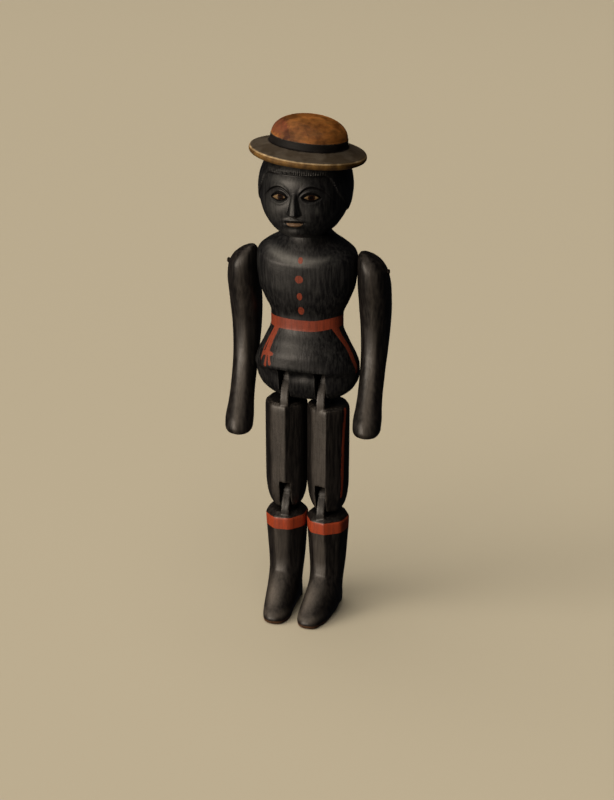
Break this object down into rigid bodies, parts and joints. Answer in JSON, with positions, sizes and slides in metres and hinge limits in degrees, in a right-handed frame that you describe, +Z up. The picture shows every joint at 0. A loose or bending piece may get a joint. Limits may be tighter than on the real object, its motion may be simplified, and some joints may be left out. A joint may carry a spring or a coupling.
{
  "type": "dancing doll",
  "caption": "Jointed dancing doll of carved, black-painted wood in a brimmed hat, standing on its boots with its arms hanging from nails.",
  "frame": {"origin": "middle of the bounding box at the soles of the boots", "axes": "+Z up from the soles to the hat, -Y the way the doll faces, +X towards the doll's own left hand"},
  "size_m": [0.0944, 0.0644, 0.2991],
  "materials": {
    "black_painted_wood": "hand-brushed black paint over carved wood, worn to a satin, with red and cream painted details",
    "brown_painted_wood": "worn brown paint over turned wood, with a black band and an ochre rim",
    "iron_nail": "dull, darkened iron",
    "dark_wood_pin": "bare dark wood"
  },
  "bodies": {
    "root": {"body": "black_painted_wood", "hat": "brown_painted_wood", "right_arm": "black_painted_wood", "left_arm": "black_painted_wood", "right_thigh": "black_painted_wood", "left_thigh": "black_painted_wood", "right_boot": "black_painted_wood", "left_boot": "black_painted_wood", "right_shoulder_pin": "iron_nail", "left_shoulder_pin": "iron_nail", "hip_pin": "dark_wood_pin", "right_knee_pin": "dark_wood_pin", "left_knee_pin": "dark_wood_pin"}
  },
  "joints": []
}
